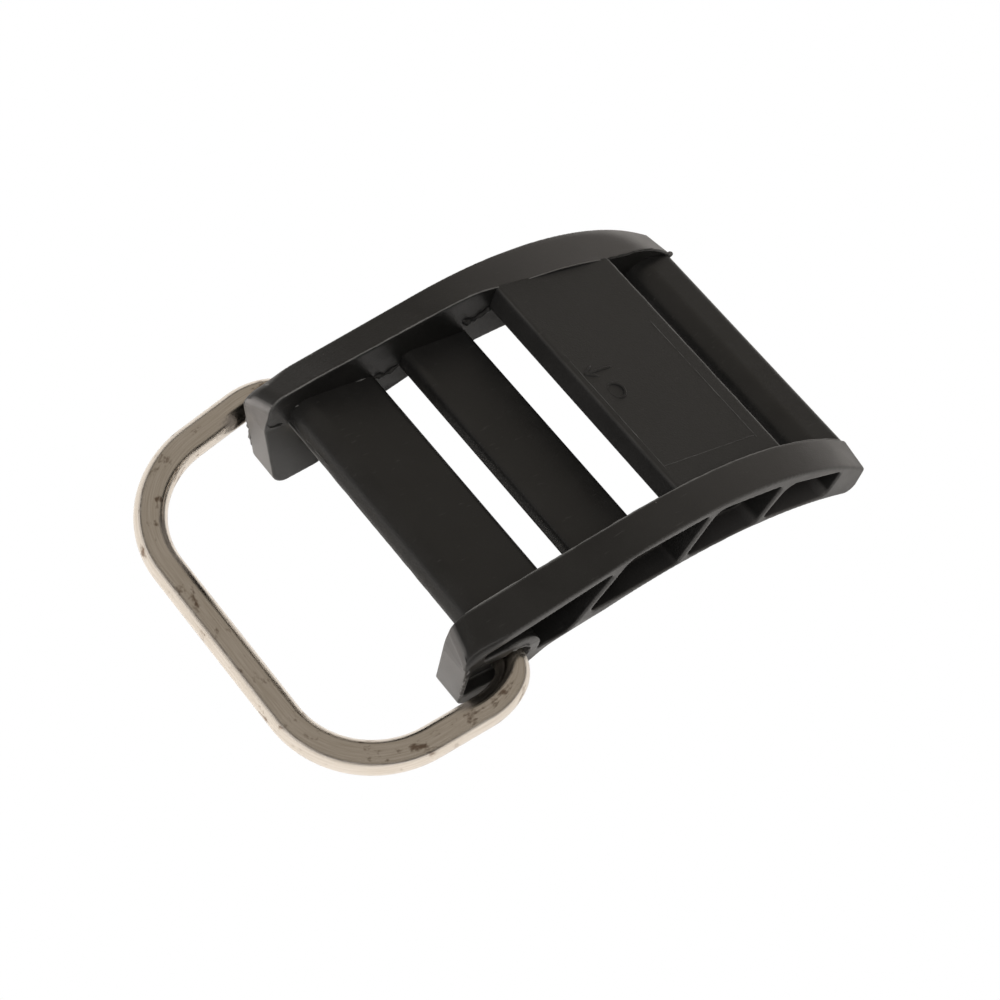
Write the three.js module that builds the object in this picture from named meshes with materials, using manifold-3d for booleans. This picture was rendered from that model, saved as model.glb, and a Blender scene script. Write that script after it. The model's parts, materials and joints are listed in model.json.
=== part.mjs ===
// Curved webbing buckle: a one-piece moulded body with webbing slots across it, and a steel wire
// bail that swings in two bosses at its front end.
//
// All sizes are millimetres. The side outline is drawn in the moulding's own level gauge: +X runs
// to the rear, +Y to the right-hand rail, +Z up, and Y = 0 is the plane of symmetry. The finished
// buckle is then leaned forward until its feet and its rear corners stand on Z = 0.

import * as THREE from 'three';
import { mergeVertices } from 'three/addons/utils/BufferGeometryUtils.js';
import Module from 'manifold-3d';

const wasm = await Module();
wasm.setup();

// ---- driving dimensions ----

const WEBBING_GAP = 52; // clear width between the rails, for 50 mm webbing
const RAIL_WIDTH = 6.6;
const POCKET_DEPTH = 4.9; // recesses in the outer side of each rail
const LEAN = THREE.MathUtils.degToRad(9.64); // forward lean of the body on its feet

const CROWN_RADIUS = 77; // arc of the rail's top edge
const BELLY_RADIUS = 103; // arc of the rail's bottom edge
const EDGE_LIFT_REAR = 1.2; // the top's inner edge stands this much above its outer edge
const EDGE_LIFT_FRONT = 3.2;
const EDGE_LIFT_START = -5; // the lift grows from here forwards, over the run
const EDGE_LIFT_RUN = 35;
const LIFT_BLEND = 4; // the lift fades out over this depth below the top

const FOOT_LEAN = 1.9; // the feet close in by this much at their soles
const FOOT_LEAN_TOP = -8; // height where that lean begins
const FOOT_LEAN_DEPTH = 14;
const FOOT_BOX_DEPTH = 40; // of the block that parts the foot from the rail, past its sole

const HINGE = new THREE.Vector2(-36.6, -11.2); // bail axis, in X and Z
const BOSS_RADIUS = 6.3;
const HOLE_RADIUS = 3.08; // to the flats of the faceted hole
const HOLE_SIDES = 24;
const MOUTH_RADIUS = 4.1; // the hole flares out to this at the rail's outer face
const MOUTH_DEPTH = 2.4;

const WIRE_RADIUS = 3;
const WIRE_SIDES = 12;
const WIRE_STEPS = 110;
const WIRE_ARC_ERROR = 0.01;
const BAIL_LENGTH = 36.6; // hinge axis to the middle of the far cross wire
const BUTT_GAP = 0.6; // between the two wire ends, midway under the front bar

const ARC_ERROR = 0.05; // an arc's chords stay this close to it

const INNER = WEBBING_GAP / 2;
const OUTER = INNER + RAIL_WIDTH;

// ---- outlines: each corner is [x, z, radius], and round corners become arcs ----

const RAIL_OUTLINE = [
  [-50.0, -3.4, 3.5], // nose
  [17.1, 16.0, CROWN_RADIUS],
  [48.6, -1.7, 0.8],
  [48.8, -8.7, 2.2],
  [8.9, 3.7, BELLY_RADIUS],
  [-27.2, -12.7, 5],
  [-32.6, -21.35, 3.5], // rear of the foot
  [-43.1, -23.13, 3.5], // front of the foot
  [-44.4, -19.1, 1.5],
];

const POCKETS = [
  [
    [-45.2, -4.4, 0.8],
    [-17.9, 3.9, 1],
    [-23.9, -10.3, 0.8],
    [-30.5, -11.5, 0],
    [-34.5, -5.4, 0],
    [-44.9, -5.8, 0.6],
  ],
  [[-20.9, -6.8, 1.2], [-15.6, 5.6, 3], [2.9, 8.3, 1], [-0.3, -3.8, 1]],
  [[1.4, -2.9, 1.2], [4.6, 8.6, 2.5], [22.2, 6.6, 1.2], [19.2, -2.6, 2]],
  [[20.8, -2.2, 1.2], [23.9, 5.9, 3], [40.4, 1.4, 1.2], [39.3, -4.8, 2]],
];

const BAR_SECTIONS = {
  front_bar: [[-43.2, -2.2, 3.6], [-24.9, -3.2, 2], [-23.5, -7.6, 1.4], [-43.7, -7.8, 1]],
  second_bar: [[-19.1, 0.1, 1.4], [-3.6, -0.2, 1.2], [-4.2, -3.6, 1], [-19.2, -3.8, 0.8]],
  centre_plate: [[-0.5, 9.6, 0.6], [29.2, 5.6, 0.4], [28.6, 0.8, 0.8], [-0.2, 3.9, 0.6]],
  rear_bar: [[37.2, 1.2, 4.4], [48.9, -0.4, 2.2], [48.3, -7.6, 1.4], [36.6, -5.2, 1.4]],
};

// The bends of one side of the bail, in its own flat plane, from the hinge to the far cross wire:
// each is [distance in front of the hinge, distance from the middle, radius].
const BAIL_BENDS = [
  [0, 34, 5],
  [5.6, 37.2, 11.2],
  [BAIL_LENGTH, 34.7, 18.7],
];

// ---- outline and solid helpers ----

// One round corner as points on its arc, from the side before it to the side after it.
function roundCorner(before, corner, after, radius, arcError = ARC_ERROR) {
  const inward = before.clone().sub(corner).normalize();
  const outward = after.clone().sub(corner).normalize();
  const half = Math.acos(THREE.MathUtils.clamp(inward.dot(outward), -1, 1)) / 2;
  const reach = radius / Math.tan(half);
  const turn = Math.PI - 2 * half;
  const centre = inward.clone().add(outward).setLength(radius / Math.sin(half)).add(corner);
  const start = corner.clone().addScaledVector(inward, reach).sub(centre);
  const side = Math.sign(inward.cross(outward)) || 1;
  const steps = Math.ceil(turn / (2 * Math.acos(1 - arcError / radius)));
  const points = [];
  for (let i = 0; i <= steps; i += 1) {
    const point = start.clone().rotateAround(new THREE.Vector2(), (-side * turn * i) / steps);
    points.push(point.add(centre));
  }
  return points;
}

// A closed THREE.Shape through a list of corners.
function roundedShape(corners) {
  const at = (i) => {
    const [x, z] = corners[(i + corners.length) % corners.length];
    return new THREE.Vector2(x, z);
  };
  const points = corners.flatMap(([, , radius], i) => {
    if (radius === 0) {
      return [at(i)];
    }
    return roundCorner(at(i - 1), at(i), at(i + 1), radius);
  });
  return new THREE.Shape(points);
}

// An outline in X and Z carried straight across from yLow to yHigh.
function crossExtrusion(corners, yLow, yHigh) {
  const depth = yHigh - yLow;
  const geometry = new THREE.ExtrudeGeometry(roundedShape(corners), { depth, bevelEnabled: false });
  const position = geometry.getAttribute('position');
  for (let i = 0; i < position.count; i += 1) {
    const y = position.getZ(i) < depth / 2 ? yHigh : yLow;
    position.setXYZ(i, position.getX(i), y, position.getY(i));
  }
  return geometry;
}

function toManifold(geometry) {
  const bare = geometry.clone();
  bare.deleteAttribute('normal');
  bare.deleteAttribute('uv');
  const merged = mergeVertices(bare, 1e-4);
  const vertProperties = new Float32Array(merged.getAttribute('position').array);
  const triVerts = new Uint32Array(merged.getIndex().array);
  return new wasm.Manifold(new wasm.Mesh({ numProp: 3, vertProperties, triVerts }));
}

function toGeometry(solid) {
  const mesh = solid.getMesh();
  const geometry = new THREE.BufferGeometry();
  geometry.setAttribute('position', new THREE.BufferAttribute(mesh.vertProperties, 3));
  geometry.setIndex(new THREE.BufferAttribute(mesh.triVerts, 1));
  geometry.computeVertexNormals();
  return geometry;
}

function mirrorAcross(geometry) {
  const mirrored = geometry.clone();
  const position = mirrored.getAttribute('position');
  for (let i = 0; i < position.count; i += 1) {
    position.setY(i, -position.getY(i));
  }
  const index = mirrored.getIndex();
  for (let i = 0; i < index.count; i += 3) {
    const second = index.getX(i + 1);
    index.setX(i + 1, index.getX(i + 2));
    index.setX(i + 2, second);
  }
  mirrored.computeVertexNormals();
  return mirrored;
}

// ---- the rails ----

const RAIL_POINTS = roundedShape(RAIL_OUTLINE).getPoints();

// Height of the rail's top at x: the outline runs rearwards along its top and forwards below.
function topHeight(x) {
  for (let i = 1; i < RAIL_POINTS.length; i += 1) {
    const a = RAIL_POINTS[i - 1];
    const b = RAIL_POINTS[i];
    if (a.x < b.x && x >= a.x && x <= b.x) {
      return THREE.MathUtils.mapLinear(x, a.x, b.x, a.y, b.y);
    }
  }
  return x < HINGE.x ? RAIL_POINTS[0].y : -Infinity;
}

// Slopes the rail's top down to its outer side by raising the inner edge, most at the front.
function raiseInnerEdge(geometry) {
  const position = geometry.getAttribute('position');
  for (let i = 0; i < position.count; i += 1) {
    const x = position.getX(i);
    const z = position.getZ(i);
    const forward = THREE.MathUtils.clamp((EDGE_LIFT_START - x) / EDGE_LIFT_RUN, 0, 1);
    const lift = THREE.MathUtils.lerp(EDGE_LIFT_REAR, EDGE_LIFT_FRONT, forward);
    const inward = (OUTER - position.getY(i)) / RAIL_WIDTH;
    const nearTop = THREE.MathUtils.clamp(1 - (topHeight(x) - z) / LIFT_BLEND, 0, 1);
    position.setZ(i, z + lift * inward * nearTop);
  }
}

// Leans the foot inwards, from the underside of the bars down.
function leanFoot(rail) {
  const footBox = new THREE.BoxGeometry(-2 * HINGE.x, 2 * OUTER, FOOT_BOX_DEPTH);
  footBox.translate(HINGE.x, OUTER, FOOT_LEAN_TOP - FOOT_BOX_DEPTH / 2);
  const below = toManifold(footBox);
  const foot = toGeometry(rail.intersect(below));
  const position = foot.getAttribute('position');
  for (let i = 0; i < position.count; i += 1) {
    const depth = (FOOT_LEAN_TOP - position.getZ(i)) / FOOT_LEAN_DEPTH;
    position.setY(i, position.getY(i) - FOOT_LEAN * depth);
  }
  return rail.subtract(below).add(toManifold(foot));
}

// A round cutter across the rail on the bail's axis, from yLow to yHigh.
function hingeCutter(radiusLow, radiusHigh, yLow, yHigh) {
  const toCorner = 1 / Math.cos(Math.PI / HOLE_SIDES);
  const height = yHigh - yLow;
  const cutter = new THREE.CylinderGeometry(radiusHigh * toCorner, radiusLow * toCorner, height, HOLE_SIDES);
  cutter.translate(HINGE.x, (yLow + yHigh) / 2, HINGE.y);
  return toManifold(cutter);
}

function railGeometry() {
  const overrun = 1; // cutters reach this far past the faces that they open
  let rail = toManifold(crossExtrusion(RAIL_OUTLINE, INNER, OUTER));
  const boss = hingeCutter(BOSS_RADIUS, BOSS_RADIUS, INNER, OUTER + 2 * overrun);
  for (const corners of POCKETS) {
    const pocket = toManifold(crossExtrusion(corners, OUTER - POCKET_DEPTH, OUTER + overrun));
    rail = rail.subtract(pocket.subtract(boss));
  }
  rail = rail.subtract(hingeCutter(HOLE_RADIUS, HOLE_RADIUS, INNER - overrun, OUTER + overrun));
  const flare = (MOUTH_RADIUS - HOLE_RADIUS) / MOUTH_DEPTH;
  const mouthRadius = MOUTH_RADIUS + flare * overrun;
  rail = rail.subtract(hingeCutter(HOLE_RADIUS, mouthRadius, OUTER - MOUTH_DEPTH, OUTER + overrun));
  const geometry = toGeometry(leanFoot(rail));
  raiseInnerEdge(geometry);
  geometry.computeVertexNormals();
  return geometry;
}

// ---- the bail ----

// The middle line of the wire, as an even run along a chain of points.
class ChainCurve extends THREE.Curve {
  constructor(points) {
    super();
    this.points = points;
    this.reach = [0];
    for (let i = 1; i < points.length; i += 1) {
      this.reach.push(this.reach[i - 1] + points[i].distanceTo(points[i - 1]));
    }
  }

  getPoint(t, target = new THREE.Vector3()) {
    const wanted = t * this.reach.at(-1);
    let i = 1;
    while (i < this.reach.length - 1 && this.reach[i] < wanted) {
      i += 1;
    }
    const share = (wanted - this.reach[i - 1]) / (this.reach[i] - this.reach[i - 1]);
    return target.lerpVectors(this.points[i - 1], this.points[i], share);
  }
}

// The bail lies flat, its hinge axis along Y and its far cross wire towards -X.
function bailGeometry() {
  const left = BAIL_BENDS.map(([ahead, aside, radius]) => [-ahead, -aside, radius]);
  const right = BAIL_BENDS.map(([ahead, aside, radius]) => [-ahead, aside, radius]).reverse();
  const corners = [[0, -BUTT_GAP / 2, 0], ...left, ...right, [0, BUTT_GAP / 2, 0]];
  const at = (i) => new THREE.Vector2(corners[i][0], corners[i][1]);
  const flat = corners.flatMap(([, , radius], i) => {
    if (radius === 0) {
      return [at(i)];
    }
    return roundCorner(at(i - 1), at(i), at(i + 1), radius, WIRE_ARC_ERROR);
  });
  const extrudePath = new ChainCurve(flat.map((point) => new THREE.Vector3(point.x, point.y, 0)));
  const rim = [];
  for (let i = 0; i < WIRE_SIDES; i += 1) {
    const turn = (2 * Math.PI * i) / WIRE_SIDES;
    rim.push(new THREE.Vector2(WIRE_RADIUS * Math.cos(turn), WIRE_RADIUS * Math.sin(turn)));
  }
  const section = new THREE.Shape(rim);
  return new THREE.ExtrudeGeometry(section, { steps: WIRE_STEPS, bevelEnabled: false, extrudePath });
}

// ---- assembly ----

const nylon = () => new THREE.MeshStandardMaterial({ color: 0x1b1a19, roughness: 0.45, metalness: 0 });
const steel = () => new THREE.MeshStandardMaterial({ color: 0xb4aa9c, roughness: 0.16, metalness: 1 });

function named(name, geometry, material) {
  const mesh = new THREE.Mesh(geometry, material);
  mesh.name = name;
  return mesh;
}

const body = new THREE.Group();
const rightRail = railGeometry();
body.add(named('side_rail_right', rightRail, nylon()));
body.add(named('side_rail_left', mirrorAcross(rightRail), nylon()));
for (const [name, section] of Object.entries(BAR_SECTIONS)) {
  body.add(named(name, crossExtrusion(section, -INNER, INNER), nylon()));
}
body.rotation.y = LEAN;

const bail = new THREE.Group();
bail.position.set(HINGE.x, 0, HINGE.y);
bail.add(named('wire_bail', bailGeometry(), steel()));
body.add(bail);

const buckle = new THREE.Group();
buckle.add(body);

// The feet stand on Z = 0, and the bail droops until its far cross wire rests there too.
buckle.updateMatrixWorld(true);
const standing = new THREE.Box3().setFromObject(body.children[0], true);
body.position.z = -standing.min.z;
buckle.updateMatrixWorld(true);
const hingeHeight = bail.getWorldPosition(new THREE.Vector3()).z;
const droop = Math.asin((hingeHeight - WIRE_RADIUS) / BAIL_LENGTH);
bail.rotation.y = -(droop + LEAN);

// The origin is under the middle of the whole buckle.
const whole = new THREE.Box3().setFromObject(buckle, true);
body.position.x = -(whole.min.x + whole.max.x) / 2;
buckle.updateMatrixWorld(true);

export default buckle;
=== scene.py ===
"""Arched webbing buckle: a black moulding with three webbing slots, and a polished steel wire bail.

The moulding is built in millimetres in its own level gauge, as in the CAD: +X to the rear, +Y to the
right-hand rail, +Z up. PLACE then sets it in the row frame, leaning forward on its feet.
"""

import json
from math import acos, asin, ceil, cos, pi, radians, sin, tan

import bmesh
import bpy
import numpy as np
from mathutils import Matrix, Vector, noise


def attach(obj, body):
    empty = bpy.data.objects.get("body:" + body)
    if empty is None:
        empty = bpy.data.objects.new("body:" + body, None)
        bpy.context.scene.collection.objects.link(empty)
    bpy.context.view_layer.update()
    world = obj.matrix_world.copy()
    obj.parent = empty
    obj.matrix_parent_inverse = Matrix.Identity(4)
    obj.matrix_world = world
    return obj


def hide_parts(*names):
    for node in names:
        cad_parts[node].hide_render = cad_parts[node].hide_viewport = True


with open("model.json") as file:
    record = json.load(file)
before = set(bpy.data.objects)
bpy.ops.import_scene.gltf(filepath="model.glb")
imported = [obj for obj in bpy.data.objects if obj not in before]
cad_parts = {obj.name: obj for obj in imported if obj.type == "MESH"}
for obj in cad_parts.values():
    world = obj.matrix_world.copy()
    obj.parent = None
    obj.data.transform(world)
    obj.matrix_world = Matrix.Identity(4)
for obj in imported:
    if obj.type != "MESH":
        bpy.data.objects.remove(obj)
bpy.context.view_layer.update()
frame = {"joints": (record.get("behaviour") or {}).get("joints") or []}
PIVOT = Vector(frame["joints"][0]["pos_m"])

MM = 0.001

# ---- driving dimensions, in millimetres ----

INNER = 26.0  # middle plane to the inner face of a rail
OUTER = 32.6
POCKET_DEPTH = 4.9
LEAN = radians(9.64)
HINGE = Vector((-36.6, 0.0, -11.2))  # bail axis in the gauge

CROWN_RADIUS = 77.0
BELLY_RADIUS = 103.0
EDGE_LIFT_REAR = 1.2
EDGE_LIFT_FRONT = 3.2
EDGE_LIFT_START = -5.0
EDGE_LIFT_RUN = 35.0
LIFT_BLEND = 4.0  # the lift fades out this far below the top
FOOT_LEAN = 1.9
FOOT_LEAN_TOP = -8.0
FOOT_LEAN_DEPTH = 14.0

BOSS_RADIUS = 6.3
HOLE_RADIUS = 3.1
MOUTH_RADIUS = 4.1
MOUTH_DEPTH = 2.4

WIRE_RADIUS = 3.0
WIRE_STEP = 0.35
BAIL_LENGTH = 36.6
BUTT_GAP = 0.6

GRAIN = 0.24  # mesh size of the moulded surfaces
SOFTENING = 5  # smoothing passes, which round the moulded edges
BAR_OVERLAP = 0.5  # bars run this far into the rails
CUT_OVERRUN = 1.0
HOLLOW_DEPTH = 2.6  # the ear is hollow this deep in front of the hole
EDGE_DIP = 2.8  # beside the plate the right rail's inner edge falls by up to this
EDGE_DIP_IN = (-7.0, 7.0)  # x over which the dip grows, and then fades
EDGE_DIP_OUT = (27.0, 43.0)
EDGE_DIP_ACROSS = (0.15, 1.0)  # from the outer face (0) to the inner face (1)
ROLL_RADIUS = 2.2  # the top rolls over into the side at the nose
ROLL_START = -39.0
ROLL_RUN = 8.0

# Corners are (x, z, radius) in the gauge.
RAIL_OUTLINE = [
    (-50.0, -3.4, 3.5),  # nose
    (17.1, 16.0, CROWN_RADIUS),
    (48.6, -1.7, 0.8),
    (48.8, -8.7, 2.2),
    (8.9, 3.7, BELLY_RADIUS),
    (-27.2, -12.7, 5.0),
    (-32.6, -21.35, 3.5),  # rear of the foot
    (-43.1, -23.13, 3.5),  # front of the foot
    (-44.4, -19.1, 1.5),
]
POCKETS = [
    [
        (-45.2, -4.4, 0.8),
        (-17.9, 3.9, 1.0),
        (-23.9, -10.3, 0.8),
        (-30.5, -11.5, 0.0),
        (-34.5, -5.4, 0.0),
        (-44.9, -5.8, 0.6),
    ],
    [(-20.9, -6.8, 1.2), (-15.6, 5.6, 3.0), (2.9, 8.3, 1.0), (-0.3, -3.8, 1.0)],
    [(1.4, -2.9, 1.2), (4.6, 8.6, 2.5), (22.2, 6.6, 1.2), (19.2, -2.6, 2.0)],
    [(20.8, -2.2, 1.2), (23.9, 5.9, 3.0), (40.4, 1.4, 1.2), (39.3, -4.8, 2.0)],
]
EAR_HOLLOW = [(-47.3, -7.2, 0.8), (-43.7, -18.4, 0.8), (-33.8, -18.0, 0.8), (-34.8, -8.6, 0.8)]
# Flash in the slots' corners and along the ear, on a rail's faces, as (x, z).
FRONT_SLOT_FLASH = [(-25.6, -3.8), (-22.5, -4.4), (-19.2, -2.9)]
MIDDLE_SLOT_FLASH = [(-6.6, 3.0), (-3.4, 2.4), (-0.1, 4.3)]
EAR_EDGE_FLASH = [(-48.3, -6.4), (-44.6, -18.4)]
EAR_PARTING_LINE = [(-48.4, -6.7), (-46.5, -7.3), (-44.6, -7.3)]
BAR_SECTIONS = {
    "front_bar": [(-43.2, -2.2, 3.6), (-24.9, -3.2, 2.0), (-23.5, -7.6, 1.4), (-43.7, -7.8, 1.0)],
    "second_bar": [(-19.1, 0.1, 1.4), (-3.6, -0.2, 1.2), (-4.2, -3.6, 1.0), (-19.2, -3.8, 0.8)],
    "centre_plate": [(-0.5, 9.6, 0.6), (29.2, 5.6, 0.4), (28.6, 0.8, 0.8), (-0.2, 3.9, 0.6)],
    "rear_bar": [(37.2, 1.2, 4.4), (48.9, -0.4, 2.2), (48.3, -7.6, 1.4), (36.6, -5.2, 1.4)],
}

# The bends of one side of the bail, from the hinge: (distance in front, from the middle, radius).
BAIL_BENDS = [(0.0, 34.0, 5.0), (5.6, 37.2, 11.2), (BAIL_LENGTH, 34.7, 18.7)]

# Base colours, linear.
BLACK = ((0.0060, 0.0059, 0.0057), (0.0098, 0.0095, 0.0091))
MATT_BLACK = ((0.012, 0.0118, 0.0115), (0.017, 0.0165, 0.016))
# Pale flash: real thin flash beads, whose pale colour is a painted highlight line along edges.
PALE_FLASH_AND_HIGHLIGHT = ((0.06, 0.059, 0.057), (0.11, 0.108, 0.105))
# Dark flash colour, also used for a strip of painted shadow under the right rail's rear edge.
DARK_FLASH_AND_SHADOW = ((0.004, 0.004, 0.004), (0.007, 0.007, 0.007))
DUST = (0.16, 0.15, 0.14)
SCRATCH = (0.05, 0.048, 0.046)
# Paler edges: partly rubbed wear, partly a painted edge highlight.
RUBBED_EDGE_AND_HIGHLIGHT = (0.11, 0.108, 0.105)
# Ear front faces: partly scuffing, partly a painted sheen.
EAR_SCUFF_AND_SHEEN = (0.22, 0.21, 0.205)
# Paler tone for upward faces towards the rear.
REAR_TOP_PALE = (0.075, 0.071, 0.069)
STEEL = ((0.66, 0.60, 0.52), (0.82, 0.765, 0.70))
STAIN = (0.17, 0.105, 0.065)
BACKDROP = (0.78, 0.75, 0.73)
HORIZON = (0.02, 0.019, 0.018)
CEILING = (0.33, 0.30, 0.262)

# The gauge's place in the row frame, in metres.
PLACE = (
    Matrix.Translation(PIVOT)
    @ Matrix.Rotation(LEAN, 4, "Y")
    @ Matrix.Scale(MM, 4)
    @ Matrix.Translation(-HINGE)
)


# ---- outlines and solids ----


def round_corner(before, corner, after, radius, step):
    """The points of one round corner, about step apart."""
    inward = (before - corner).normalized()
    outward = (after - corner).normalized()
    half = acos(max(-1.0, min(1.0, inward.dot(outward)))) / 2
    centre = corner + (inward + outward).normalized() * (radius / sin(half))
    start = corner + inward * (radius / tan(half)) - centre
    turn = pi - 2 * half
    side = 1.0 if inward.x * outward.y - inward.y * outward.x > 0 else -1.0
    count = max(4, ceil(turn * radius / step))
    points = []
    for i in range(count + 1):
        angle = -side * turn * i / count
        across = start.x * cos(angle) - start.y * sin(angle)
        up = start.x * sin(angle) + start.y * cos(angle)
        points.append(centre + Vector((across, up)))
    return points


def rounded(corners, step=0.6):
    """A closed outline through corners (x, z, radius)."""
    flat = [Vector(corner[:2]) for corner in corners]
    points = []
    for i, (x, z, radius) in enumerate(corners):
        if radius == 0:
            points.append(flat[i])
        else:
            after = flat[(i + 1) % len(flat)]
            points += round_corner(flat[i - 1], flat[i], after, radius, step)
    return points


def new_object(name, mesh):
    made = bpy.data.objects.new(name, mesh)
    bpy.context.scene.collection.objects.link(made)
    return made


def loft(name, rings, closed=False):
    """A closed solid through rings of points. It ends in flat faces, unless it closes on itself."""
    shape = bmesh.new()
    loops = [[shape.verts.new(point) for point in ring] for ring in rings]
    count = len(loops[0])
    for low, high in zip(loops, loops[1:] + loops[:1] if closed else loops[1:]):
        for i in range(count):
            j = (i + 1) % count
            shape.faces.new((low[i], low[j], high[j], high[i]))
    if not closed:
        shape.faces.new(loops[0][::-1])
        shape.faces.new(loops[-1])
    bmesh.ops.triangulate(shape, faces=[face for face in shape.faces if len(face.verts) > 4])
    bmesh.ops.recalc_face_normals(shape, faces=shape.faces)
    mesh = bpy.data.meshes.new(name)
    shape.to_mesh(mesh)
    shape.free()
    return new_object(name, mesh)


def prism(name, corners, y_low, y_high):
    """An outline in X and Z carried straight across."""
    outline = rounded(corners)
    return loft(name, [[Vector((p.x, y, p.y)) for p in outline] for y in (y_low, y_high)])


def turned(name, radii, sides=96):
    """A round solid on the bail's axis, from pairs (y, radius)."""
    rings = []
    for y, radius in radii:
        ring = []
        for i in range(sides):
            angle = 2 * pi * i / sides
            ring.append(Vector((HINGE.x + radius * cos(angle), y, HINGE.z + radius * sin(angle))))
        rings.append(ring)
    return loft(name, rings)


def bake(solid):
    """Applies the solid's modifiers to its mesh."""
    seen = solid.evaluated_get(bpy.context.evaluated_depsgraph_get())
    mesh = bpy.data.meshes.new_from_object(seen)
    mesh.materials.clear()
    solid.modifiers.clear()
    solid.data = mesh
    return solid


def cut(solid, tool):
    """Takes the tool's shape out of the solid, and removes the tool."""
    modifier = solid.modifiers.new("tool", "BOOLEAN")
    modifier.operation = "DIFFERENCE"
    modifier.object = tool
    modifier.solver = "MANIFOLD"
    bake(solid)
    bpy.data.objects.remove(tool)


def moulded(solid):
    """Remakes a solid as a fine even mesh with softly rounded edges."""
    remesh = solid.modifiers.new("grain", "REMESH")
    remesh.mode = "VOXEL"
    remesh.voxel_size = GRAIN
    remesh.use_smooth_shade = True
    soften = solid.modifiers.new("soften", "SMOOTH")
    soften.factor = 0.5
    soften.iterations = SOFTENING
    return bake(solid)


def points_of(mesh):
    flat = np.empty(len(mesh.vertices) * 3)
    mesh.vertices.foreach_get("co", flat)
    return flat.reshape(-1, 3)


def set_points(mesh, points):
    mesh.vertices.foreach_set("co", points.ravel())
    mesh.update()


def ramp(value, start, end):
    """0 before start, 1 past end, smooth between."""
    t = np.clip((value - start) / (end - start), 0.0, 1.0)
    return t * t * (3 - 2 * t)


# ---- thin strips: moulding flash, scribed lines and raised marks ----

# DARK also paints a strip of shadow under the right rail's rear edge.
# PALE paints flash pale as a highlight line.
BODY, PALE, DARK = 0, 1, 2  # a moulded piece's materials


def between(*corners, step=0.4):
    """Points about a step apart along straight lines through the corners."""
    points = [Vector(corners[0])]
    for start, end in zip(corners, corners[1:]):
        run = Vector(end) - Vector(start)
        count = ceil(run.length / step)
        points += [Vector(start) + run * (i + 1) / count for i in range(count)]
    return points


def circle_about(centre, radius, axis, start=0.0, sweep=2 * pi, count=48):
    """Points round an arc whose axis is Y or Z."""
    points = []
    for i in range(count):
        angle = start + sweep * i / count
        u, v = radius * cos(angle), radius * sin(angle)
        points.append(Vector(centre) + Vector((u, 0, v) if axis == "Y" else (u, v, 0)))
    return points


def bead(line, radius, ragged=0.0, closed=False, shade=BODY):
    """A round strip along a line. A ragged one wanders and changes its thickness."""
    sides = 8
    side_view = Vector((0.31, 0.24, 0.92))
    last = len(line) - 1
    rings = []
    for i, point in enumerate(line):
        before = line[i - 1] if closed or i else point
        after = line[(i + 1) % len(line)] if closed or i < last else point
        across = (after - before).cross(side_view).normalized()
        up = across.cross(after - before).normalized()
        size = radius * (1 + ragged * noise.noise(point * 0.9))
        if not closed:
            size *= min(1.0, 0.35 + 0.3 * i, 0.35 + 0.3 * (last - i))
        centre = point + noise.noise_vector(point * 0.5) * (ragged * radius)
        ring = []
        for k in range(sides):
            angle = 2 * pi * k / sides
            ring.append(centre + (across * cos(angle) + up * sin(angle)) * size)
        rings.append(ring)
    strip = loft("bead", rings, closed)
    for polygon in strip.data.polygons:
        polygon.material_index = shade
    return strip


def lens(centre, half_sizes, along_y=12, sides=16):
    """A flat oval drop, its long way along Y."""
    rings = []
    for i in range(along_y + 1):
        angle = pi * (0.03 + 0.94 * i / along_y)
        ring = []
        for k in range(sides):
            turn = 2 * pi * k / sides
            offset = Vector((sin(angle) * cos(turn), -cos(angle), sin(angle) * sin(turn)))
            ring.append(Vector(centre) + Vector(a * b for a, b in zip(offset, half_sizes)))
        rings.append(ring)
    return loft("lens", rings)


def joined(solid, extras):
    """Adds closed strips to a solid, as shells of the same mesh."""
    shape = bmesh.new()
    for piece in (solid, *extras):
        shape.from_mesh(piece.data)
    shape.to_mesh(solid.data)
    shape.free()
    for piece in extras:
        bpy.data.objects.remove(piece)
    solid.data.shade_smooth()
    return solid


# ---- the rails ----


def top_heights(x):
    """Height of the rail's top edge at each x."""
    outline = rounded(RAIL_OUTLINE)
    highest = max(range(len(outline)), key=lambda i: outline[i].y)
    rising = [(p.x, p.y) for p in outline[: highest + 1]]
    falling = [(p.x, p.y) for p in outline[highest + 1 :] if p.y > outline[0].y - 5]
    line = rising + falling
    xs = np.maximum.accumulate([point[0] for point in line])
    return np.interp(x, xs, [point[1] for point in line])


def shape_rail(mesh, edge_dip):
    """Raises the top's inner edge, sinks it beside the plate and leans the foot inwards."""
    points = points_of(mesh)
    x, y, z = points.T
    forward = np.clip((EDGE_LIFT_START - x) / EDGE_LIFT_RUN, 0, 1)
    lift = EDGE_LIFT_REAR + (EDGE_LIFT_FRONT - EDGE_LIFT_REAR) * forward
    inward = (OUTER - y) / (OUTER - INNER)
    near_top = np.clip(1 - (top_heights(x) - z) / LIFT_BLEND, 0, 1)
    depth = np.clip((FOOT_LEAN_TOP - z) / FOOT_LEAN_DEPTH, 0, None) * (x < 0)
    beside_plate = ramp(x, *EDGE_DIP_IN) * (1 - ramp(x, *EDGE_DIP_OUT))
    dip = edge_dip * beside_plate * ramp(inward, *EDGE_DIP_ACROSS) * near_top
    points[:, 2] = z + lift * inward * near_top - dip
    points[:, 1] = y - FOOT_LEAN * depth
    set_points(mesh, points)


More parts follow.
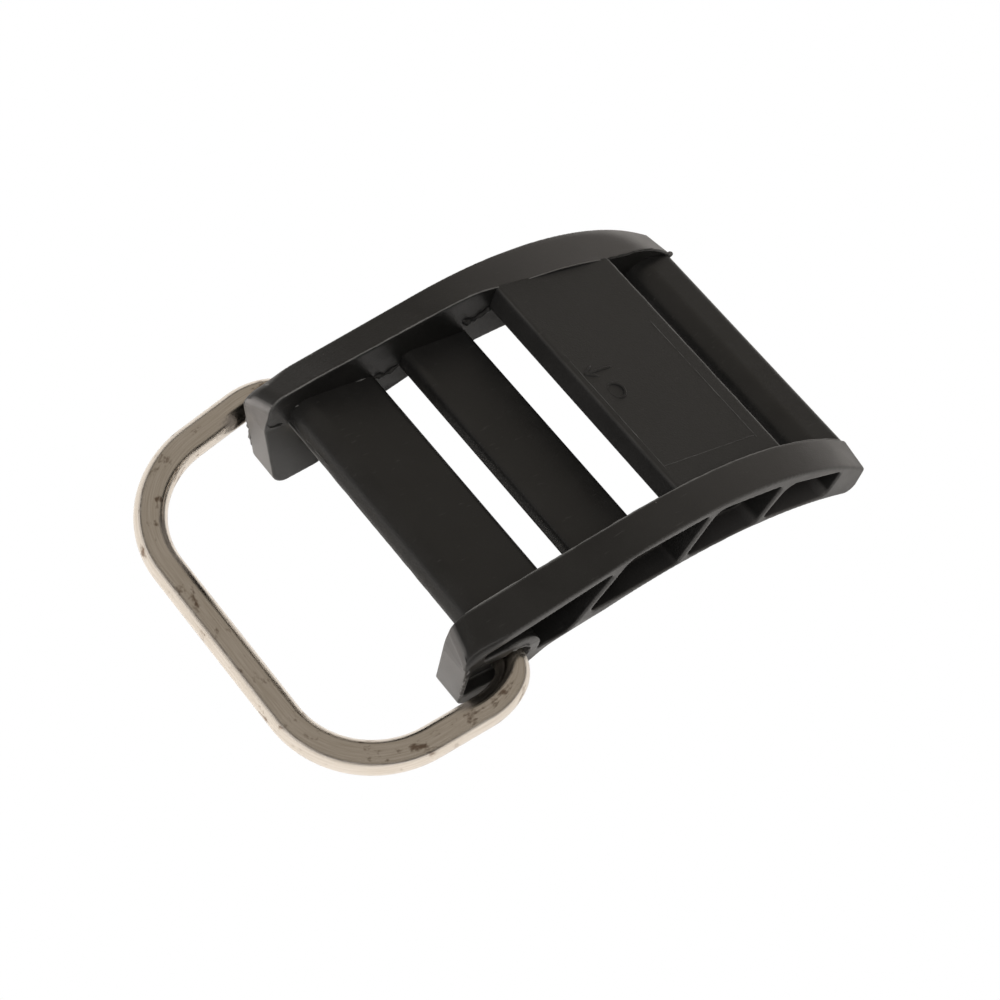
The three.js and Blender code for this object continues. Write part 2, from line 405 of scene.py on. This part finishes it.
def roll_nose(mesh):
    """Rounds the top's outer edge over into the side, more and more towards the nose."""
    points = points_of(mesh)
    x, y, z = points.T
    radius = 0.01 + ROLL_RADIUS * ramp(-x, -ROLL_START, -ROLL_START + ROLL_RUN)
    side = np.clip((y - (OUTER - radius)) / radius, 0, None)
    rise = np.clip((z - (top_heights(x) - radius)) / radius, 0, None)
    reach = np.hypot(side, rise)
    square = np.maximum(side, rise)
    pull = np.where((side > 0) & (rise > 0), square / np.maximum(reach, 1e-6), 1.0)
    points[:, 1] = np.where(side > 0, OUTER - radius + side * radius * pull, y)
    points[:, 2] = np.where(rise > 0, top_heights(x) - radius + rise * radius * pull, z)
    set_points(mesh, points)


def rail_body(name):
    """An arched side with four open pockets, a hinge boss and a hollow ear."""
    solid = prism(name, RAIL_OUTLINE, INNER, OUTER)
    for corners in POCKETS:
        pocket = prism("pocket", corners, OUTER - POCKET_DEPTH, OUTER + CUT_OVERRUN)
        if corners is POCKETS[0]:
            boss = turned("boss", [(INNER, BOSS_RADIUS), (OUTER + 2 * CUT_OVERRUN, BOSS_RADIUS)])
            cut(pocket, boss)
        cut(solid, pocket)
    hollow = prism("hollow", EAR_HOLLOW, OUTER - HOLLOW_DEPTH, OUTER + CUT_OVERRUN)
    cut(solid, hollow)
    flare = (MOUTH_RADIUS - HOLE_RADIUS) / MOUTH_DEPTH
    bore = [
        (INNER - CUT_OVERRUN, HOLE_RADIUS),
        (OUTER - MOUTH_DEPTH, HOLE_RADIUS),
        (OUTER + CUT_OVERRUN, MOUTH_RADIUS + flare * CUT_OVERRUN),
    ]
    cut(solid, turned("bore", bore))
    return moulded(solid)


def along_top(x_start, x_end, y, sunk=0.1):
    """A line along the rail's top edge."""
    xs = np.arange(x_start, x_end, 0.5)
    return [Vector((x, y, z - sunk)) for x, z in zip(xs, top_heights(xs))]


def on_face(corners, y):
    """Corners (x, z) on a rail's face at y."""
    return [(x, y, z) for x, z in corners]


def flash_of_both():
    """Moulding flash that both rails carry; the line along the top's inner edge is painted pale as a
    highlight.
    """
    mouth_centre = (HINGE.x, OUTER - 0.1, HINGE.z)
    mouth = circle_about(mouth_centre, MOUTH_RADIUS + 0.1, "Y", radians(-40), radians(150))
    front_slot = between(*on_face(FRONT_SLOT_FLASH, INNER), step=0.3)
    middle_slot = between(*on_face(MIDDLE_SLOT_FLASH, INNER), step=0.3)
    return [
        # Painted highlight: the pale line along the top's inner edge.
        bead(along_top(-46.5, 47.4, INNER + 0.12), 0.12, 0.4, shade=PALE),
        bead(front_slot, 0.45, 1.2, shade=DARK),
        bead(middle_slot, 0.45, 1.2, shade=DARK),
        bead(mouth, 0.24, 1.0),
        bead(between(*on_face(EAR_EDGE_FLASH, OUTER - 0.2)), 0.32, 1.1),
    ]


def flash_of_right():
    """A dark strip of painted shadow under the top's edge at the right-hand rail's rear end, a nub
    of flash at its end, and the parting line on its ear.
    """
    parting_line = between(*on_face(EAR_PARTING_LINE, INNER), step=0.3)
    return [
        # Painted shadow: a dark strip under the top's edge.
        bead(along_top(28.7, 48.4, INNER - 0.05), 0.34, 0.5, shade=DARK),
        lens((48.5, INNER - 0.1, -1.9), (0.75, 0.6, 0.6)),
        bead(parting_line, 0.2, 0.8, shade=DARK),
    ]


def rail(name, body, flash, edge_dip=0.0):
    """A rail of its own, from the shared body, its flash and its dip."""
    solid = new_object(name, body.data.copy())
    joined(solid, flash)
    roll_nose(solid.data)
    shape_rail(solid.data, edge_dip)
    return solid


def mirrored(solid, name):
    """A copy on the other side of the middle plane."""
    mesh = solid.data.copy()
    mesh.transform(Matrix.Scale(-1, 4, (0, 1, 0)))
    mesh.flip_normals()
    return new_object(name, mesh)


# ---- the bars ----


def on_plate(x, y):
    """A point on the centre plate's top face."""
    (x_front, z_front, _), (x_rear, z_rear, _) = BAR_SECTIONS["centre_plate"][:2]
    return (x, y, z_front + (x - x_front) * (z_rear - z_front) / (x_rear - x_front))


def plate_marks():
    """A scribed frame, a raised arrow and a plain ring on the plate, and flash on its rear edge,
    painted pale as a highlight line.
    """
    hairline = 0.07
    stroke = 0.3
    tip, tail = on_plate(1.6, 2.6), on_plate(8.5, 2.6)
    barbs = between(on_plate(4.2, 3.9), tip, on_plate(4.2, 1.3))
    ring = circle_about(on_plate(5.1, -2.7), 1.7, "Z")
    frame_front, frame_rear = 0.95, 25.8
    near_side, far_side = -20.6, 9.8
    scribed = [
        between(on_plate(frame_front, near_side), on_plate(frame_rear, near_side)),
        between(on_plate(frame_rear, near_side - 0.6), on_plate(frame_rear, far_side)),
        between(on_plate(frame_front, near_side - 0.8), on_plate(frame_front, 8.0)),
    ]
    return [bead(line, hairline, 0.6) for line in scribed] + [
        bead(between(tip, tail), stroke, 0.2, shade=DARK),
        bead(barbs, stroke, 0.2, shade=DARK),
        bead(ring, stroke * 0.9, 0.2, closed=True, shade=DARK),
        # Painted highlight: the pale flash line on the plate's rear edge.
        bead(between((29.1, -INNER, 5.5), (29.1, INNER, 5.5)), 0.13, 0.4, shade=PALE),
    ]


def front_lip():
    """Doubled flash along the front bar's lower edge, with a gate mark. The lower line and a seam by
    the right-hand rail are flash painted pale as highlight lines.
    """
    front = -43.45
    lower = between((front, -INNER, -7.3), (front, INNER, -7.3), step=0.8)
    upper = between((front, 8.3, -6.3), (front, 16.0, -6.2), (front, INNER, -6.4), step=0.6)
    seam = between((-43.0, INNER - 0.1, -3.4), (-27.2, INNER - 0.1, -3.0))
    return [
        # Painted highlight: the lower line and the seam are pale.
        bead(lower, 0.13, 0.3, shade=PALE),
        bead(upper, 0.13, 1.0),
        lens((-43.35, 19.0, -6.8), (0.35, 2.4, 0.55)),
        bead(seam, 0.12, 0.6, shade=PALE),
    ]


def bar(name):
    solid = moulded(prism(name, BAR_SECTIONS[name], -INNER - BAR_OVERLAP, INNER + BAR_OVERLAP))
    marks = {"centre_plate": plate_marks, "front_bar": front_lip}
    return joined(solid, marks[name]()) if name in marks else solid


# ---- the bail ----


def wire_line():
    """The middle of the wire in the bail's own plane, with the hinge axis along Y."""
    left = [(-ahead, -aside, radius) for ahead, aside, radius in BAIL_BENDS]
    right = [(-ahead, aside, radius) for ahead, aside, radius in reversed(BAIL_BENDS)]
    ends = [(0.0, -BUTT_GAP / 2, 0.0), (0.0, BUTT_GAP / 2, 0.0)]
    return rounded([ends[0], *left, *right, ends[1]], step=WIRE_STEP)


def wire(name):
    """Round wire swept along its line, with slightly broken edges at the two ends."""
    line = between(*[(p.x, p.y, 0.0) for p in wire_line()], step=WIRE_STEP)
    sides = 56
    chamfer = 0.35
    rings = []
    for i, point in enumerate(line):
        along = (line[min(i + 1, len(line) - 1)] - line[max(i - 1, 0)]).normalized()
        across = Vector((0, 0, 1)).cross(along)
        circle = []
        for k in range(sides):
            angle = 2 * pi * k / sides
            circle.append(across * cos(angle) + Vector((0, 0, 1)) * sin(angle))
        if i in (0, len(line) - 1):
            into = along * (chamfer if i == 0 else -chamfer)
            tip = [point + spoke * (WIRE_RADIUS - chamfer) for spoke in circle]
            body = [point + into + spoke * WIRE_RADIUS for spoke in circle]
            rings += [tip, body] if i == 0 else [body, tip]
        else:
            rings.append([point + spoke * WIRE_RADIUS for spoke in circle])
    solid = loft(name, rings)
    unroll(solid.data, sides)
    return solid


def unroll(mesh, sides):
    """Texture coordinates in millimetres along the wire and turns round it."""
    layer = mesh.uv_layers.new(name="along_wire")
    for polygon in mesh.polygons:
        spokes = {mesh.loops[i].vertex_index % sides for i in polygon.loop_indices}
        crosses_seam = len(polygon.vertices) == 4 and 0 in spokes and sides - 1 in spokes
        for i in polygon.loop_indices:
            ring, spoke = divmod(mesh.loops[i].vertex_index, sides)
            past_seam = crosses_seam and spoke < sides / 2
            layer.data[i].uv = (ring * WIRE_STEP, 1.0 if past_seam else spoke / sides)


# ---- materials ----


def nodes_of(name):
    """A new material's nodes, links and Principled shader."""
    material = bpy.data.materials.new(name)
    material.use_nodes = True
    tree = material.node_tree
    return material, tree.nodes, tree.links, tree.nodes["Principled BSDF"]


def noise_node(nodes, links, place, scale, detail=4.0, roughness=0.55):
    """Noise from 0 to 1 at a place."""
    texture = nodes.new("ShaderNodeTexNoise")
    texture.inputs["Scale"].default_value = scale
    texture.inputs["Detail"].default_value = detail
    texture.inputs["Roughness"].default_value = roughness
    links.new(place, texture.inputs["Vector"])
    return texture.outputs["Fac"]


def mapped(nodes, links, value, low, high, to_low, to_high):
    """value, from low..high to to_low..to_high, held at both ends."""
    span = nodes.new("ShaderNodeMapRange")
    span.inputs["From Min"].default_value = low
    span.inputs["From Max"].default_value = high
    span.inputs["To Min"].default_value = to_low
    span.inputs["To Max"].default_value = to_high
    links.new(value, span.inputs["Value"])
    return span.outputs["Result"]


def mixed(nodes, links, share, first, second):
    """A colour between two, by a share. Each colour is a value or a socket."""
    mix = nodes.new("ShaderNodeMix")
    mix.data_type = "RGBA"
    links.new(share, mix.inputs["Factor"])
    for socket, colour in ((mix.inputs["A"], first), (mix.inputs["B"], second)):
        if isinstance(colour, tuple):
            socket.default_value = (*colour, 1.0)
        else:
            links.new(colour, socket)
    return mix.outputs["Result"]


def bumped(nodes, links, height, distance, before=None):
    """A normal raised by a height, over another normal if there is one."""
    bump = nodes.new("ShaderNodeBump")
    bump.inputs["Distance"].default_value = distance
    bump.inputs["Strength"].default_value = 1.0
    links.new(height, bump.inputs["Height"])
    if before is not None:
        links.new(before, bump.inputs["Normal"])
    return bump.outputs["Normal"]


def masked(nodes, links, first, second):
    """The product of two shares."""
    product = nodes.new("ShaderNodeMath")
    product.operation = "MULTIPLY"
    links.new(first, product.inputs[0])
    links.new(second, product.inputs[1])
    return product.outputs["Value"]


def stretched(nodes, links, place, scale, turn=0.0):
    """A place scaled along each axis and turned about Z."""
    mapping = nodes.new("ShaderNodeMapping")
    mapping.inputs["Scale"].default_value = scale
    mapping.inputs["Rotation"].default_value = (0.0, 0.0, turn)
    links.new(place, mapping.inputs["Vector"])
    return mapping.outputs["Vector"]


def with_pale_ears_and_rear_tops(nodes, links, place, cloud, colour):
    """Pale matt front faces on the ears, partly scuffing and partly painted sheen, stronger on the
    right ear, and tops that grow paler to the rear.
    """
    facing = nodes.new("ShaderNodeSeparateXYZ")
    links.new(nodes.new("ShaderNodeNewGeometry").outputs["Normal"], facing.inputs["Vector"])
    where = nodes.new("ShaderNodeSeparateXYZ")
    links.new(place, where.inputs["Vector"])

    # Painted sheen, with scuffing: forward faces of the ears paler, more on the right ear.
    forward = mapped(nodes, links, facing.outputs["X"], -0.95, -0.72, 1.0, 0.0)
    at_ear = mapped(nodes, links, where.outputs["X"], -0.024, -0.020, 1.0, 0.0)
    patchy = mapped(nodes, links, cloud, 0.3, 0.7, 0.6, 1.0)
    more_on_right = mapped(nodes, links, where.outputs["Y"], -0.03, 0.03, 0.55, 1.0)
    ear_front = masked(nodes, links, forward, at_ear)
    ear_share = masked(nodes, links, ear_front, masked(nodes, links, patchy, more_on_right))
    colour = mixed(nodes, links, ear_share, colour, EAR_SCUFF_AND_SHEEN)

    # Upward faces grow paler towards the rear, more on the right.
    rearward = mapped(nodes, links, where.outputs["X"], 0.0, 0.062, 0.0, 1.0)
    upward = mapped(nodes, links, facing.outputs["Z"], 0.5, 0.8, 0.0, 1.0)
    more_on_right = mapped(nodes, links, where.outputs["Y"], -0.03, 0.03, 0.5, 1.0)
    rear_share = masked(nodes, links, masked(nodes, links, rearward, upward), more_on_right)
    return mixed(nodes, links, rear_share, colour, REAR_TOP_PALE)


def nylon(name, dark, light, rough, grain_depth, edge_rub_and_highlight=1.0, paler_faces=False):
    """Moulded nylon: fine grain, flow clouds, dust specks, scratches, and pale edges that are partly
    rubbed wear and partly a painted highlight.
    """
    material, nodes, links, shader = nodes_of(name)
    place = nodes.new("ShaderNodeTexCoord").outputs["Object"]
    grain = noise_node(nodes, links, place, 2600.0, 3.0)
    cloud = noise_node(nodes, links, place, 110.0, 5.0, 0.6)
    colour = mixed(nodes, links, mapped(nodes, links, cloud, 0.3, 0.7, 0.0, 1.0), dark, light)

    specks = nodes.new("ShaderNodeTexVoronoi")
    specks.inputs["Scale"].default_value = 170.0
    links.new(place, specks.inputs["Vector"])
    speck = mapped(nodes, links, specks.outputs["Distance"], 0.014, 0.024, 0.4, 0.0)
    colour = mixed(nodes, links, speck, colour, DUST)

    drawn_out = stretched(nodes, links, place, (300.0, 2600.0, 900.0), turn=0.35)
    scratches = noise_node(nodes, links, drawn_out, 1.0, 2.0)
    scratch = mapped(nodes, links, scratches, 0.68, 0.74, 0.0, 0.25)
    colour = mixed(nodes, links, scratch, colour, SCRATCH)

    # Convex edges paler by pointiness: partly rubbed wear, partly a painted edge highlight.
    shape = nodes.new("ShaderNodeNewGeometry")
    edge = mapped(nodes, links, shape.outputs["Pointiness"], 0.52, 0.58, 0.0, 1.0)
    patchy = mapped(nodes, links, cloud, 0.40, 0.60, 0.25 * edge_rub_and_highlight, 0.9 * edge_rub_and_highlight)
    colour = mixed(nodes, links, masked(nodes, links, edge, patchy), colour, RUBBED_EDGE_AND_HIGHLIGHT)

    if paler_faces:
        colour = with_pale_ears_and_rear_tops(nodes, links, place, cloud, colour)
    links.new(colour, shader.inputs["Base Color"])

    roughness = mapped(nodes, links, cloud, 0.3, 0.7, rough - 0.06, rough + 0.08)
    links.new(roughness, shader.inputs["Roughness"])
    fine = bumped(nodes, links, grain, grain_depth)
    links.new(bumped(nodes, links, scratches, 0.00001, before=fine), shader.inputs["Normal"])
    return material


def steel():
    """Polished wire with drawing lines along it and brown stains."""
    material, nodes, links, shader = nodes_of("steel_wire")
    place = nodes.new("ShaderNodeTexCoord").outputs["Object"]
    unrolled = nodes.new("ShaderNodeUVMap")
    unrolled.uv_map = "along_wire"
    along = unrolled.outputs["UV"]
    drawn = stretched(nodes, links, along, (0.12, 60.0, 1.0))
    lines = noise_node(nodes, links, drawn, 1.0, 6.0, 0.7)
    line = mapped(nodes, links, lines, 0.35, 0.65, 0.0, 1.0)
    colour = mixed(nodes, links, line, *STEEL)
    smeared = stretched(nodes, links, along, (0.22, 7.0, 1.0))
    blotches = noise_node(nodes, links, smeared, 1.0, 6.0, 0.65)
    stain = mapped(nodes, links, blotches, 0.57, 0.66, 0.0, 0.85)
    colour = mixed(nodes, links, stain, colour, STAIN)
    links.new(colour, shader.inputs["Base Color"])
    shader.inputs["Metallic"].default_value = 1.0
    cloud = noise_node(nodes, links, place, 90.0)
    roughness = mapped(nodes, links, cloud, 0.3, 0.7, 0.13, 0.24)
    links.new(roughness, shader.inputs["Roughness"])
    links.new(bumped(nodes, links, lines, 0.00002), shader.inputs["Normal"])
    return material


# ---- building it ----


def finish_piece(solid, node, body, place, materials):
    """Sets a piece in the row frame, on its CAD body."""
    solid.data.transform(place)
    for material in materials:
        solid.data.materials.append(material)
    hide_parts(node)
    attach(solid, body)


def build_moulding():
    """Two rails and four bars, each on its own CAD node."""
    satin = nylon("satin_moulding", *BLACK, 0.36, 0.00002, edge_rub_and_highlight=0.4)
    rail_satin = nylon("rail_moulding", *BLACK, 0.36, 0.00003, paler_faces=True)
    matt = nylon("matt_moulding", *MATT_BLACK, 0.48, 0.00004)
    # Painted highlight: the pale colour of the flash beads.
    pale = nylon("pale_flash_and_highlight", *PALE_FLASH_AND_HIGHLIGHT, 0.5, 0.00002)
    # Also the colour of a strip of painted shadow.
    dark = nylon("dark_flash_and_painted_shadow", *DARK_FLASH_AND_SHADOW, 0.45, 0.00002, edge_rub_and_highlight=0.1)
    surfaces = {
        "centre_plate": matt,
        "side_rail_right": rail_satin,
        "side_rail_left": rail_satin,
    }
    body = rail_body("rail_body")
    right = rail("rail_right", body, flash_of_both() + flash_of_right(), EDGE_DIP)
    near = rail("rail_left_unturned", body, flash_of_both())
    pieces = {"side_rail_right": right, "side_rail_left": mirrored(near, "rail_left")}
    bpy.data.objects.remove(near)
    bpy.data.objects.remove(body)
    for node in BAR_SECTIONS:
        pieces[node] = bar(node)
        pieces[node].name = "moulded_" + node
    for node, solid in pieces.items():
        materials = (surfaces.get(node, satin), pale, dark)
        finish_piece(solid, node, "frame", PLACE, materials)


def build_bail():
    """The wire, turned down about the hinge until it lies on the floor."""
    droop = asin((PIVOT.z / MM - WIRE_RADIUS) / BAIL_LENGTH)
    place = Matrix.Translation(PIVOT) @ Matrix.Rotation(-droop, 4, "Y") @ Matrix.Scale(MM, 4)
    solid = wire("bent_wire")
    solid.data.shade_smooth()
    finish_piece(solid, "wire_bail", "bail", place, (steel(),))


# ---- floor, light and camera ----


def seen_white(nodes, links, surface, strength):
    """Shows plain white to the camera, and the given shader to every other ray."""
    white = nodes.new("ShaderNodeEmission")
    white.inputs["Color"].default_value = (1.0, 1.0, 1.0, 1.0)
    white.inputs["Strength"].default_value = strength
    either = nodes.new("ShaderNodeMixShader")
    links.new(nodes.new("ShaderNodeLightPath").outputs["Is Camera Ray"], either.inputs["Fac"])
    links.new(surface, either.inputs[1])
    links.new(white.outputs["Emission"], either.inputs[2])
    return either.outputs["Shader"]


def build_floor():
    size = 3.0
    shape = bmesh.new()
    bmesh.ops.create_grid(shape, x_segments=2, y_segments=2, size=size)
    mesh = bpy.data.meshes.new("floor")
    shape.to_mesh(mesh)
    shape.free()
    floor = new_object("floor", mesh)
    floor.location.z = -0.0001
    material, nodes, links, shader = nodes_of("pale_floor")
    shader.inputs["Base Color"].default_value = (0.90, 0.88, 0.86, 1)
    shader.inputs["Roughness"].default_value = 0.8
    surface = seen_white(nodes, links, shader.outputs["BSDF"], 1.0)
    links.new(surface, nodes["Material Output"].inputs["Surface"])
    mesh.materials.append(material)


def build_world():
    """A pale backdrop low down, a dark band above it and a dim warm ceiling."""
    world = bpy.data.worlds.new("room")
    bpy.context.scene.world = world
    world.use_nodes = True
    nodes = world.node_tree.nodes
    links = world.node_tree.links
    background = nodes["Background"]
    direction = nodes.new("ShaderNodeTexCoord").outputs["Generated"]
    split = nodes.new("ShaderNodeSeparateXYZ")
    links.new(direction, split.inputs["Vector"])
    height = nodes.new("ShaderNodeMath")
    height.operation = "MULTIPLY_ADD"
    links.new(split.outputs["X"], height.inputs[0])
    height.inputs[1].default_value = 0.10  # the backdrop stands higher at the front
    links.new(split.outputs["Z"], height.inputs[2])
    low = mapped(nodes, links, height.outputs["Value"], 0.12, 0.17, 0.0, 1.0)
    high = mapped(nodes, links, height.outputs["Value"], 0.22, 0.34, 0.0, 1.0)
    colour = mixed(nodes, links, low, BACKDROP, HORIZON)
    colour = mixed(nodes, links, high, colour, CEILING)
    links.new(colour, background.inputs["Color"])
    surface = seen_white(nodes, links, background.outputs["Background"], 1.0)
    links.new(surface, nodes["World Output"].inputs["Surface"])


def area_light(name, place, aim, size, power):
    """A round lamp that leaves no highlight of its own."""
    light = bpy.data.lights.new(name, "AREA")
    light.shape = "DISK"
    light.size = size
    light.energy = power
    lamp = bpy.data.objects.new(name, light)
    bpy.context.scene.collection.objects.link(lamp)
    lamp.location = place
    lamp.rotation_euler = (Vector(aim) - Vector(place)).to_track_quat("-Z", "Y").to_euler()
    lamp.visible_glossy = False


def build_camera():
    """A camera above the left front corner, turned about its own axis."""
    azimuth = radians(-140.98)
    elevation = radians(53.56)
    roll = radians(16.24)
    distance = 0.4916
    target = PIVOT + Vector((0.0183, -0.0053, 0.00132))
    back = Vector((cos(elevation) * cos(azimuth), cos(elevation) * sin(azimuth), sin(elevation)))
    camera = bpy.data.cameras.new("camera")
    camera.lens = 100.23
    camera.sensor_width = 36.0
    camera.clip_start = 0.01
    seen = bpy.data.objects.new("camera", camera)
    bpy.context.scene.collection.objects.link(seen)
    level = back.to_track_quat("Z", "Y").to_matrix().to_4x4()
    place = Matrix.Translation(target + back * distance)
    seen.matrix_world = place @ level @ Matrix.Rotation(roll, 4, "Z")
    bpy.context.scene.camera = seen


build_moulding()
build_bail()
build_floor()
build_world()
build_camera()
area_light("overhead_softbox", (-0.5, -0.3, 1.0), (0, 0, 0), 0.8, 14.0)
bpy.context.scene.view_settings.view_transform = "Standard"
